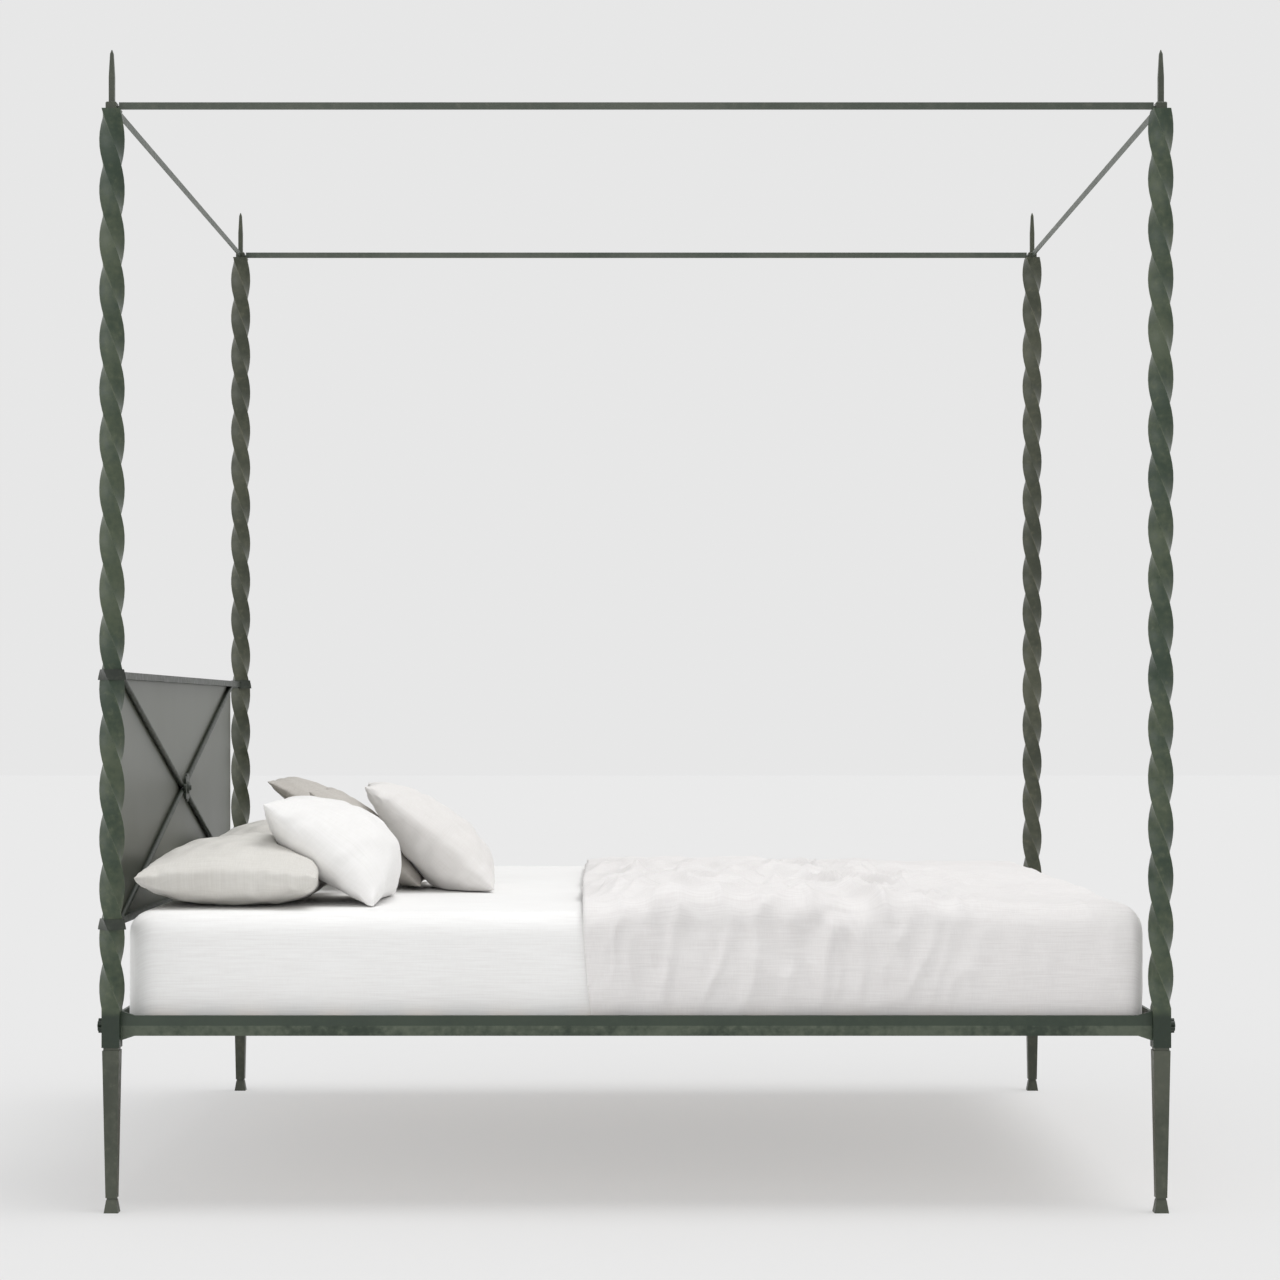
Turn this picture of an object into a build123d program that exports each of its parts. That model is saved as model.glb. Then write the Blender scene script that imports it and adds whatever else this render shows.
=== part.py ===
from build123d import *
import os
from math import atan2, cos, degrees, hypot, radians, sin

os.makedirs("parts", exist_ok=True)

# Millimetres. The floor is z = 0 and the bed is centred on x = y = 0.
# +X points to the foot of the bed, -Y to the near side, +Z up.

# Mattress, a standard size that sets the plan of the bed, and the room the post centres leave round it
mattress_length = 2000.0
mattress_width = 1800.0
mattress_height = 216.0
plan_room_x = 60.0
plan_room_y = 60.0

# Post: one square bar, twisted above a plain block
post_side = 35.0
block_bottom_z = 324.6
twist_start_z = 402.0
quarter_turn_height = 98.0
quarter_turns = 18

# Leg and foot under each post
leg_top_side = 33.0
leg_bottom_side = 22.0
leg_neck_side = 29.0
leg_neck_height = 5.8
foot_height = 25.5
foot_top_side = 20.0
foot_bottom_side = 28.0
foot_neck_side = 18.0
foot_neck_height = 4.0
foot_pin_diameter = 9.0
foot_pin_length = 16.0
leg_stud_diameter = 12.0
leg_stud_in_post = 20.0
leg_stud_in_leg = 34.0

# Canopy: flat bars on edge, held down by slotted caps and finials
canopy_bar_height = 14.0
canopy_bar_thickness = 3.0
canopy_tongue_height = 7.0
canopy_tongue_reach = 8.0
cap_side = 21.5
cap_height = 14.0
cap_chamfer = 2.0
cap_to_bar_gap = 3.2
finial_side = 11.0
finial_tip_side = 6.6
finial_height = 103.0
finial_straight = 50.0
finial_point = 8.0
finial_stud_diameter = 8.0
finial_stud_in_post = 24.0

# Bed rails: angle bars with a ridge along the outer face
rail_height = 40.0
rail_bottom_z = 346.5
rail_leaf = 6.0
rail_ridge = 2.5
rail_shelf_width = 34.0
rail_shelf_thickness = 5.0
rail_inset = 3.0
rail_flare_height = 58.0
rail_flare_length = 27.0
rail_stud_diameter = 8.0
rail_stud_in_leaf = 26.0
rail_nut_diameter = 29.0
rail_nut_thickness = 9.0
rail_nut_lobes = 6
rail_nut_dome_diameter = 12.0
rail_nut_dome_rise = 2.2
rail_nut_dome_taper = 40.0

# Headboard between the two head posts
collar_thickness = 2.2
collar_height = 21.0
head_bar = 14.0
head_bar_offset = 4.0
head_top_z = 1056.0
head_bottom_z = 566.0
panel_thickness = 1.5
panel_to_post = 113.0
cross_rod_diameter = 12.0
cross_inset = 37.0
cross_lap_length = 44.0
rivet_diameter = 5.0
rivet_head_diameter = 10.0
rivet_head_height = 2.4
rivet_depth = 7.0
rivet_head_taper = 45.0
rivets_per_bar = 5
rivet_spread = 0.9
rosette_diameter = 66.0
rosette_petals = 8
rosette_plate = 5.0
rosette_dome_diameter = 30.0
rosette_thickness = 13.0
boss_taper = 35.0
rosette_bolt_diameter = 6.0
rosette_bolt_head = 12.0
rosette_bolt_head_height = 4.0
rosette_bolt_depth = 7.0

# Slats and the beam under their middle
slat_count = 12
slat_width = 70.0
slat_thickness = 18.0
slat_end_gap = 3.0
slat_first_from_end = 97.0
beam_width = 25.0
beam_height = 40.0
beam_wall = 3.0
hanger_thickness = 5.0
hanger_width = 60.0
hanger_reach = 26.0
hanger_screw_diameter = 6.0
hanger_screw_head = 11.0
hanger_screw_head_height = 3.5
hanger_screw_spacing = 36.0

# Form of the mattress, and the bedding on it
mattress_shift_x = -8.0
mattress_corner = 60.0
mattress_top_round = 42.0
mattress_bottom_round = 24.0
sheet_thickness = 1.5
sheet_hem_rise = 4.0
coverlet_thickness = 10.0
coverlet_edge_x = -105.0
coverlet_edge_bow = 14.0
coverlet_hem_rise = 12.0
fold_radius = 70.0
fold_rise = 9.0
fold_lines = [
    ((60.0, -520.0), (330.0, -700.0)),
    ((240.0, -330.0), (520.0, -560.0)),
    ((30.0, -60.0), (260.0, 60.0)),
    ((430.0, -40.0), (760.0, -260.0)),
    ((180.0, 380.0), (470.0, 560.0)),
    ((620.0, 280.0), (830.0, 90.0)),
]

# Pillows, each: seam centre as distance from the mattress head, y and height over the sheet,
# lean, yaw, length down the slope, width, rise above the seam, drop below it, fullness above and below
pillows = {
    "flat_near": ((190.0, -560.0, 65.6), 0.0, 0.0, 366.0, 600.0, 68.0, 61.5, 0.6, 0.22),
    "flat_far": ((182.0, 300.0, 65.6), 0.0, 0.0, 366.0, 600.0, 73.0, 61.5, 0.6, 0.22),
    "white": ((390.0, -552.0, 102.6), 42.5, -6.0, 300.0, 385.0, 98.0, 29.6, 0.55, 0.6),
    "cream": ((544.0, -110.0, 120.3), 38.6, 4.0, 365.0, 380.0, 64.0, 57.0, 0.6, 0.6),
    "grey_mid": ((408.0, -25.0, 115.1), 40.4, 0.0, 327.0, 380.0, 38.8, 66.0, 0.6, 0.6),
    "grey_far": ((258.0, 600.0, 150.7), 28.0, 0.0, 330.0, 380.0, 38.0, 28.0, 0.6, 0.6),
}
# Shares of the rise at which a pillow's outline is drawn, and how far its seam is drawn in
pillow_levels = (0.0, 0.2, 0.45, 0.7, 0.88, 0.97, 0.998)
pillow_seam_draw = 0.05

# Clearances
bore_clearance = 0.3
seat_clearance = 0.15
collar_clearance = 0.5
cloth_clearance = 0.3

# Sizes that follow from those above
post_span_x = mattress_length + plan_room_x
post_span_y = mattress_width + plan_room_y
half_x = post_span_x / 2
half_y = post_span_y / 2
post_half = post_side / 2
post_top_z = twist_start_z + quarter_turns * quarter_turn_height
leg_top_z = block_bottom_z - leg_neck_height
leg_bottom_z = foot_height + foot_neck_height
cap_top_z = post_top_z + cap_height
finial_stud_length = cap_height + finial_stud_in_post
rail_mid_z = rail_bottom_z + rail_height / 2
rail_line_x = half_x - rail_inset
rail_line_y = half_y - rail_inset
shelf_top_z = rail_bottom_z + rail_shelf_thickness
head_bar_x = -half_x - head_bar_offset
panel_width = post_span_y - 2 * panel_to_post
panel_front_x = head_bar_x - head_bar / 2
panel_back_x = panel_front_x - panel_thickness
collar_side = post_side + 2 * (collar_clearance + collar_thickness)
cross_x = panel_front_x + cross_rod_diameter / 2
cross_top_z = head_top_z - head_bar / 2
cross_bottom_z = head_bottom_z + head_bar / 2
cross_mid_z = (cross_top_z + cross_bottom_z) / 2
cross_half_y = panel_width / 2 - cross_inset
cross_slope = degrees(atan2((cross_top_z - cross_bottom_z) / 2, cross_half_y))
cross_length = 2 * hypot((cross_top_z - cross_bottom_z) / 2, cross_half_y) + 4 * cross_rod_diameter
rosette_back_x = cross_x + cross_rod_diameter / 2
beam_end_x = rail_line_x - rail_leaf / 2 - rail_shelf_width - bore_clearance - hanger_thickness
hanger_screw_x = rail_line_x - rail_leaf / 2 - rail_shelf_width + hanger_reach / 2
slat_length = 2 * (rail_line_y - rail_leaf / 2 - slat_end_gap)
mattress_bottom_z = shelf_top_z + slat_thickness
mattress_top_z = mattress_bottom_z + mattress_height

corners = {
    "head_near": (-1, -1),
    "head_far": (-1, 1),
    "foot_near": (1, -1),
    "foot_far": (1, 1),
}


def twist_angle(z):
    """Turn of the bar at height z: clockwise from above as it rises."""
    return -90.0 * (z - twist_start_z) / quarter_turn_height


def twisted_bar(x, y, side, z_from, z_to):
    """A square bar that follows the posts' twist between two heights."""
    with BuildPart() as bar:
        with BuildSketch(Plane((x, y, z_from))):
            Rectangle(side, side, rotation=twist_angle(z_from))
        spine = Edge.make_line((x, y, z_from), (x, y, z_to))
        guide = Edge.make_helix(4 * quarter_turn_height, z_to - z_from, side, (x, y, z_from), lefthand=True)
        sweep(path=spine, binormal=guide)
    return bar.part


def rod_between(start, end, diameter):
    """A round rod from one point to another."""
    axis = Vector(*end) - Vector(*start)
    with BuildPart() as rod:
        with BuildSketch(Plane(start, z_dir=axis)):
            Circle(diameter / 2)
        extrude(amount=axis.length)
    return rod.part


def save(part, name):
    """Label one piece and write it to its own file."""
    part.label = name
    export_step(part, f"parts/{name}.step")


# Posts, with bores for the leg stud, the rail stud and the finial stud
for corner, (side_x, side_y) in corners.items():
    x = side_x * half_x
    y = side_y * half_y
    shaft = twisted_bar(x, y, post_side, twist_start_z, post_top_z)
    leg_bore = rod_between(
        (x, y, block_bottom_z), (x, y, block_bottom_z + leg_stud_in_post + bore_clearance),
        leg_stud_diameter + 2 * bore_clearance,
    )
    rail_bore = rod_between(
        (x - post_side, side_y * rail_line_y, rail_mid_z), (x + post_side, side_y * rail_line_y, rail_mid_z),
        rail_stud_diameter + 2 * bore_clearance,
    )
    finial_bore = rod_between(
        (x, y, post_top_z), (x, y, post_top_z - finial_stud_in_post - bore_clearance),
        finial_stud_diameter + 2 * bore_clearance,
    )
    with BuildPart() as post:
        with BuildSketch(Plane((x, y, block_bottom_z))):
            Rectangle(post_side, post_side)
        extrude(amount=twist_start_z - block_bottom_z)
        add(shaft)
        add([leg_bore, rail_bore, finial_bore], mode=Mode.SUBTRACT)
    save(post.part, f"post_{corner}")

# Legs: a straight square taper below a short neck
for corner, (side_x, side_y) in corners.items():
    x = side_x * half_x
    y = side_y * half_y
    stud_bore = rod_between(
        (x, y, block_bottom_z), (x, y, block_bottom_z - leg_stud_in_leg - bore_clearance),
        leg_stud_diameter + 2 * bore_clearance,
    )
    pin_bore = rod_between(
        (x, y, leg_bottom_z), (x, y, leg_bottom_z + foot_pin_length + bore_clearance),
        foot_pin_diameter + 2 * bore_clearance,
    )
    with BuildPart() as leg:
        with BuildSketch(Plane((x, y, leg_bottom_z))):
            Rectangle(leg_bottom_side, leg_bottom_side)
        with BuildSketch(Plane((x, y, leg_top_z))):
            Rectangle(leg_top_side, leg_top_side)
        loft(ruled=True)
        with BuildSketch(Plane((x, y, leg_top_z))):
            Rectangle(leg_neck_side, leg_neck_side)
        extrude(amount=leg_neck_height)
        add([stud_bore, pin_bore], mode=Mode.SUBTRACT)
    save(leg.part, f"leg_{corner}")

# Feet: flared pads on a narrow neck, pinned up into the legs
for corner, (side_x, side_y) in corners.items():
    x = side_x * half_x
    y = side_y * half_y
    with BuildPart() as foot:
        with BuildSketch(Plane((x, y, 0))):
            Rectangle(foot_bottom_side, foot_bottom_side)
        with BuildSketch(Plane((x, y, foot_height))):
            Rectangle(foot_top_side, foot_top_side)
        loft(ruled=True)
        with BuildSketch(Plane((x, y, foot_height))):
            Rectangle(foot_neck_side, foot_neck_side)
        extrude(amount=foot_neck_height)
        with BuildSketch(Plane((x, y, leg_bottom_z))):
            Circle(foot_pin_diameter / 2)
        extrude(amount=foot_pin_length)
    save(foot.part, f"foot_{corner}")

# Threaded studs that join the legs to the posts
with BuildPart() as leg_studs:
    with BuildSketch(Plane.XY.offset(block_bottom_z - leg_stud_in_leg)):
        with GridLocations(post_span_x, post_span_y, 2, 2):
            Circle(leg_stud_diameter / 2)
    extrude(amount=leg_stud_in_leg + leg_stud_in_post)
save(leg_studs.part, "leg_studs")


def canopy_bar(start, end, span):
    """A flat bar on edge with a half-height tongue at both ends.

    It runs along the line from start to end, the post centres it joins, span apart.
    """
    along = (Vector(*end) - Vector(*start)).normalized()
    full_end = cap_side / 2 + cap_to_bar_gap
    tongue_end = full_end - canopy_tongue_reach
    across = Plane(start, x_dir=along, z_dir=along.cross(Vector(0, 0, 1)))
    with BuildPart() as bar:
        with BuildSketch(across):
            with BuildLine():
                Polyline(
                    (tongue_end, 0), (span - tongue_end, 0), (span - tongue_end, canopy_tongue_height),
                    (span - full_end, canopy_tongue_height), (span - full_end, canopy_bar_height),
                    (full_end, canopy_bar_height), (full_end, canopy_tongue_height),
                    (tongue_end, canopy_tongue_height), close=True,
                )
            make_face()
        extrude(amount=canopy_bar_thickness / 2, both=True)
    return bar.part


# Canopy bars along the two sides and across the two ends
for name, side_y in (("near", -1), ("far", 1)):
    y = side_y * half_y
    save(canopy_bar((-half_x, y, post_top_z), (half_x, y, post_top_z), post_span_x), f"canopy_bar_{name}")
for name, side_x in (("head", -1), ("foot", 1)):
    x = side_x * half_x
    save(canopy_bar((x, -half_y, post_top_z), (x, half_y, post_top_z), post_span_y), f"canopy_bar_{name}")

# Caps on the posts, slotted underneath for the two tongues that meet there
slot_width = canopy_bar_thickness + 2 * bore_clearance
for corner, (side_x, side_y) in corners.items():
    x = side_x * half_x
    y = side_y * half_y
    with BuildPart() as cap:
        with BuildSketch(Plane((x, y, post_top_z))):
            Rectangle(cap_side, cap_side)
        extrude(amount=cap_height)
        chamfer(cap.faces().sort_by(Axis.Z)[-1].edges(), cap_chamfer)
        with BuildSketch(Plane((x, y, post_top_z))):
            with Locations((-side_x * cap_side / 4, 0)):
                Rectangle(cap_side / 2, slot_width)
            with Locations((0, -side_y * cap_side / 4)):
                Rectangle(slot_width, cap_side / 2)
        extrude(amount=canopy_tongue_height + bore_clearance, mode=Mode.SUBTRACT)
        with BuildSketch(Plane((x, y, post_top_z))):
            Circle(finial_stud_diameter / 2 + bore_clearance)
        extrude(amount=cap_height, mode=Mode.SUBTRACT)
    save(cap.part, f"canopy_cap_{corner}")

# Finials: square spikes with a blunt point, on a stud that clamps the cap
for corner, (side_x, side_y) in corners.items():
    x = side_x * half_x
    y = side_y * half_y
    point_z = cap_top_z + finial_height - finial_point
    with BuildPart() as finial:
        with BuildSketch(Plane((x, y, cap_top_z))):
            Rectangle(finial_side, finial_side)
        extrude(amount=finial_straight)
        with BuildSketch(Plane((x, y, cap_top_z + finial_straight))):
            Rectangle(finial_side, finial_side)
        with BuildSketch(Plane((x, y, point_z))):
            Rectangle(finial_tip_side, finial_tip_side)
        loft(ruled=True)
        with BuildSketch(Plane((x, y, point_z))):
            Rectangle(finial_tip_side, finial_tip_side)
        with BuildSketch(Plane((x, y, point_z + finial_point))):
            Rectangle(finial_tip_side / 5, finial_tip_side / 5)
        loft(ruled=True)
        with BuildSketch(Plane((x, y, cap_top_z))):
            Circle(finial_stud_diameter / 2)
        extrude(amount=-finial_stud_length)
    save(finial.part, f"finial_{corner}")


def rail_leaf_profile(section, outward):
    """Upright leaf of a rail in its own section: flat inside, ridged outside."""
    top_z = rail_bottom_z + rail_height
    with BuildSketch(section) as profile:
        with BuildLine():
            Polyline(
                (-outward * rail_leaf / 2, rail_bottom_z), (outward * rail_leaf / 2, rail_bottom_z),
                (outward * (rail_leaf / 2 + rail_ridge), rail_mid_z),
                (outward * rail_leaf / 2, top_z), (-outward * rail_leaf / 2, top_z), close=True,
            )
        make_face()
    return profile.sketch


def rail_flares(side_view, length):
    """Both flared ends of a leaf, seen square on, about the middle of its length."""
    spread = (rail_flare_height - rail_height) / 2
    with BuildSketch(side_view) as flares:
        for end in (-1, 1):
            with BuildLine():
                Polyline(
                    (end * (length / 2 - rail_flare_length), rail_bottom_z),
                    (end * length / 2, rail_bottom_z - spread),
                    (end * length / 2, rail_bottom_z + rail_height + spread),
                    (end * (length / 2 - rail_flare_length), rail_bottom_z + rail_height),
                    close=True,
                )
            make_face()
    return flares.sketch


# Side rails: leaf, shelf for the slats, flared ends and a welded stud at each end
side_leaf_length = post_span_x - post_side
side_shelf_length = 2 * (rail_line_x - rail_leaf / 2 - rail_shelf_width) - 2 * slat_end_gap
rail_stud_end = half_x + post_half + rail_nut_thickness
for name, side_y in (("near", -1), ("far", 1)):
    y = side_y * rail_line_y
    shelf_y = y - side_y * (rail_leaf + rail_shelf_width) / 2
    studs = [
        rod_between(
            (side_x * (side_leaf_length / 2 - rail_stud_in_leaf), y, rail_mid_z),
            (side_x * rail_stud_end, y, rail_mid_z), rail_stud_diameter,
        )
        for side_x in (-1, 1)
    ]
    leaf = rail_leaf_profile(Plane((0, y, 0), x_dir=(0, 1, 0), z_dir=(1, 0, 0)), side_y)
    flares = rail_flares(Plane((0, y, 0), x_dir=(1, 0, 0), z_dir=(0, -1, 0)), side_leaf_length)
    with BuildPart() as side_rail:
        extrude(leaf, amount=side_leaf_length / 2, both=True)
        extrude(flares, amount=rail_leaf / 2, both=True)
        with BuildSketch(Plane((0, shelf_y, rail_bottom_z))):
            Rectangle(side_shelf_length, rail_shelf_width)
        extrude(amount=rail_shelf_thickness)
        add(studs)
    save(side_rail.part, f"side_rail_{name}")

# End rails: the same section, welded between the posts of each end
end_leaf_length = post_span_y - post_side
for name, side_x in (("head", -1), ("foot", 1)):
    x = side_x * rail_line_x
    shelf_x = x - side_x * (rail_leaf + rail_shelf_width) / 2
    leaf = rail_leaf_profile(Plane((x, 0, 0), x_dir=(1, 0, 0), z_dir=(0, -1, 0)), side_x)
    flares = rail_flares(Plane((x, 0, 0), x_dir=(0, 1, 0), z_dir=(1, 0, 0)), end_leaf_length)
    with BuildPart() as end_rail:
        extrude(leaf, amount=end_leaf_length / 2, both=True)
        extrude(flares, amount=rail_leaf / 2, both=True)
        with BuildSketch(Plane((shelf_x, 0, rail_bottom_z))):
            Rectangle(rail_shelf_width, end_leaf_length)
        extrude(amount=rail_shelf_thickness)
        with BuildSketch(Plane((side_x * hanger_screw_x, 0, rail_bottom_z))):
            with GridLocations(0, hanger_screw_spacing, 1, 2):
                Circle(hanger_screw_diameter / 2 + bore_clearance)
        extrude(amount=rail_shelf_thickness, mode=Mode.SUBTRACT)
    save(end_rail.part, f"end_rail_{name}")

# Lobed nuts that draw the side rails tight against the posts
lobe_radius = rail_nut_diameter / 6
lobe_ring = rail_nut_diameter / 2 - lobe_radius
with BuildPart() as rail_nuts:
    for side_x, side_y in corners.values():
        face = Plane(
            (side_x * (half_x + post_half), side_y * rail_line_y, rail_mid_z), x_dir=(0, 1, 0), z_dir=(side_x, 0, 0)
        )
        with BuildSketch(face):
            Circle(lobe_ring)
            with PolarLocations(lobe_ring, rail_nut_lobes, start_angle=90):
                Circle(lobe_radius)
        extrude(amount=rail_nut_thickness)
        with BuildSketch(face.offset(rail_nut_thickness)):
            Circle(rail_nut_dome_diameter / 2)
        extrude(amount=rail_nut_dome_rise, taper=rail_nut_dome_taper)
        with BuildSketch(face):
            Circle(rail_stud_diameter / 2 + bore_clearance)
        extrude(amount=rail_nut_thickness, mode=Mode.SUBTRACT)
save(rail_nuts.part, "rail_nuts")

# Collars forged round the head posts, one at each headboard bar
for name, side_y in (("near", -1), ("far", 1)):
    y = side_y * half_y
    for level, z in (("top", head_top_z), ("bottom", head_bottom_z)):
        outer = twisted_bar(-half_x, y, collar_side, z - collar_height / 2, z + collar_height / 2)
        inner = twisted_bar(-half_x, y, post_side + 2 * collar_clearance, z - collar_height, z + collar_height)
        with BuildPart() as collar:
            add(outer)
            add(inner, mode=Mode.SUBTRACT)
        save(collar.part, f"head_collar_{name}_{level}")

# Headboard bars, coped at both ends to the collars they are welded to
rivet_line = [panel_width * (step / (rivets_per_bar - 1) - 0.5) * rivet_spread for step in range(rivets_per_bar)]
for level, z in (("top", head_top_z), ("bottom", head_bottom_z)):
    copes = [
        twisted_bar(-half_x, side_y * half_y, collar_side + 2 * collar_clearance, z - collar_height, z + collar_height)
        for side_y in (-1, 1)
    ]
    with BuildPart() as head_bar_part:
        with BuildSketch(Plane((head_bar_x, 0, z))):
            Rectangle(head_bar, post_span_y)
        extrude(amount=head_bar / 2, both=True)
        add(copes, mode=Mode.SUBTRACT)
        with BuildSketch(Plane((panel_front_x, 0, z), x_dir=(0, 1, 0), z_dir=(1, 0, 0))):
            with Locations(*[(y, 0) for y in rivet_line]):
                Circle(rivet_diameter / 2 + bore_clearance)
        extrude(amount=rivet_depth + bore_clearance, mode=Mode.SUBTRACT)
    save(head_bar_part.part, f"head_bar_{level}")

# Panel, riveted to the backs of both bars
panel_plane = Plane((panel_back_x, 0, cross_mid_z), x_dir=(0, 1, 0), z_dir=(1, 0, 0))
rivet_points = [(y, z - cross_mid_z) for y in rivet_line for z in (head_bottom_z, head_top_z)]
with BuildPart() as head_panel:
    with BuildSketch(panel_plane):
        Rectangle(panel_width, head_top_z - head_bottom_z + head_bar)
        with Locations(*rivet_points):
            Circle(rivet_diameter / 2 + bore_clearance, mode=Mode.SUBTRACT)
        Circle(rosette_bolt_diameter / 2 + bore_clearance, mode=Mode.SUBTRACT)
    extrude(amount=panel_thickness)
save(head_panel.part, "head_panel")

with BuildPart() as panel_rivets:
    with BuildSketch(panel_plane):
        with Locations(*rivet_points):
            Circle(rivet_diameter / 2)
    extrude(amount=panel_thickness + rivet_depth)
    with BuildSketch(panel_plane):
        with Locations(*rivet_points):
            Circle(rivet_head_diameter / 2)
    extrude(amount=-rivet_head_height, taper=rivet_head_taper)
save(panel_rivets.part, "panel_rivets")

# Crossed rods, half lapped where they meet and trimmed to the bars
for name, fall, lap_side in (("falling", -1, 1), ("rising", 1, -1)):
    centre = Vector(cross_x, 0, cross_mid_z)
    along = Vector(0, cos(radians(cross_slope)), fall * sin(radians(cross_slope)))
    rod = rod_between(
        tuple(centre - along * (cross_length / 2)), tuple(centre + along * (cross_length / 2)), cross_rod_diameter
    )
    with BuildPart() as cross_rod:
        add(rod)
        with BuildSketch(Plane((cross_x, 0, cross_top_z))):
            Rectangle(2 * cross_rod_diameter, post_span_y)
        extrude(amount=cross_length, mode=Mode.SUBTRACT)
        with BuildSketch(Plane((cross_x, 0, cross_bottom_z))):
            Rectangle(2 * cross_rod_diameter, post_span_y)
        extrude(amount=-cross_length, mode=Mode.SUBTRACT)
        with BuildSketch(Plane(centre, x_dir=along, z_dir=(1, 0, 0))):
            Rectangle(cross_lap_length, 2 * cross_rod_diameter)
        extrude(amount=lap_side * cross_rod_diameter, mode=Mode.SUBTRACT)
        with BuildSketch(Plane(centre, x_dir=along, z_dir=(1, 0, 0))):
            Circle(rosette_bolt_diameter / 2 + bore_clearance)
        extrude(amount=cross_rod_diameter, both=True, mode=Mode.SUBTRACT)
    save(cross_rod.part, f"cross_rod_{name}")

# Rosette over the crossing: a petalled plate with a stepped boss
petal_radius = rosette_diameter / 6.6
petal_ring = rosette_diameter / 2 - petal_radius
rosette_plane = Plane((rosette_back_x, 0, cross_mid_z), x_dir=(0, 1, 0), z_dir=(1, 0, 0))
boss_rise = (rosette_thickness - rosette_plate) / 2
with BuildPart() as rosette:
    with BuildSketch(rosette_plane):
        Circle(petal_ring)
        with PolarLocations(petal_ring, rosette_petals):
            Circle(petal_radius)
    extrude(amount=rosette_plate)
    with BuildSketch(rosette_plane.offset(rosette_plate)):
        Circle(rosette_dome_diameter / 2)
    extrude(amount=boss_rise, taper=boss_taper)
    with BuildSketch(rosette_plane.offset(rosette_plate + boss_rise)):
        Circle(rosette_dome_diameter / 4)
    extrude(amount=boss_rise, taper=boss_taper)
    with BuildSketch(rosette_plane):
        Circle(rosette_bolt_diameter / 2 + bore_clearance)
    extrude(amount=rosette_bolt_depth + bore_clearance, mode=Mode.SUBTRACT)
save(rosette.part, "rosette")

with BuildPart() as rosette_bolt:
    with BuildSketch(panel_plane):
        Circle(rosette_bolt_diameter / 2)
    extrude(amount=rosette_back_x - panel_back_x + rosette_bolt_depth)
    with BuildSketch(panel_plane):
        RegularPolygon(rosette_bolt_head / 2, 6)
    extrude(amount=-rosette_bolt_head_height)
save(rosette_bolt.part, "rosette_bolt")

# Slats across the bed, resting on the shelves of the side rails
slat_reach = rail_line_x - rail_leaf / 2 - slat_first_from_end
with BuildPart() as slats:
    with BuildSketch(Plane.XY.offset(shelf_top_z)):
        with GridLocations(2 * slat_reach / (slat_count - 1), 0, slat_count, 1):
            Rectangle(slat_width, slat_length)
    extrude(amount=slat_thickness)
save(slats.part, "slats")

# Beam under the middle of the slats, hung from the shelves of the end rails
with BuildPart() as beam:
    with BuildSketch(Plane((-beam_end_x, 0, shelf_top_z - beam_height / 2), x_dir=(0, 1, 0), z_dir=(1, 0, 0))):
        Rectangle(beam_width, beam_height)
        Rectangle(beam_width - 2 * beam_wall, beam_height - 2 * beam_wall, mode=Mode.SUBTRACT)
    extrude(amount=2 * beam_end_x)
save(beam.part, "centre_beam")

for name, side_x in (("head", -1), ("foot", 1)):
    with BuildPart() as hanger:
        plate = Plane((side_x * beam_end_x, 0, shelf_top_z - beam_height / 2), x_dir=(0, 0, 1), z_dir=(side_x, 0, 0))
        with BuildSketch(plate):
            Rectangle(beam_height, hanger_width)
        extrude(amount=hanger_thickness)
        with BuildSketch(Plane((side_x * (beam_end_x + (hanger_thickness + hanger_reach) / 2), 0, rail_bottom_z))):
            Rectangle(hanger_thickness + hanger_reach, hanger_width)
        extrude(amount=-hanger_thickness)
        with BuildSketch(Plane((side_x * hanger_screw_x, 0, rail_bottom_z))):
            with GridLocations(0, hanger_screw_spacing, 1, 2):
                Circle(hanger_screw_diameter / 2 + bore_clearance)
        extrude(amount=-hanger_thickness, mode=Mode.SUBTRACT)
    save(hanger.part, f"beam_hanger_{name}")

with BuildPart() as hanger_screws:
    with BuildSketch(Plane.XY.offset(rail_bottom_z - hanger_thickness)):
        with GridLocations(2 * hanger_screw_x, hanger_screw_spacing, 2, 2):
            Circle(hanger_screw_diameter / 2)
    extrude(amount=hanger_thickness + rail_shelf_thickness)
    with BuildSketch(Plane.XY.offset(rail_bottom_z - hanger_thickness)):
        with GridLocations(2 * hanger_screw_x, hanger_screw_spacing, 2, 2):
            Circle(hanger_screw_head / 2)
    extrude(amount=-hanger_screw_head_height)
save(hanger_screws.part, "hanger_screws")


def mattress_block(grow, bottom_z):
    """The mattress grown by a thickness on its sides and top, from a given height up."""
    with BuildPart() as block:
        with BuildSketch(Plane((mattress_shift_x, 0, bottom_z))):
            RectangleRounded(mattress_length + 2 * grow, mattress_width + 2 * grow, mattress_corner + grow)
        extrude(amount=mattress_top_z + grow - bottom_z)
        fillet(block.faces().sort_by(Axis.Z)[-1].edges(), mattress_top_round + grow)
    return block.part


# Mattress, with rounded edges above and below
with BuildPart() as mattress:
    add(mattress_block(0, mattress_bottom_z))
    fillet(mattress.faces().sort_by(Axis.Z)[0].edges(), mattress_bottom_round)
save(mattress.part, "mattress")

# Fitted sheet, pulled over the top and the sides
with BuildPart() as fitted_sheet:
    add(mattress_block(cloth_clearance + sheet_thickness, mattress_bottom_z + sheet_hem_rise))
    add(mattress_block(cloth_clearance, mattress_bottom_z), mode=Mode.SUBTRACT)
save(fitted_sheet.part, "fitted_sheet")

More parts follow.
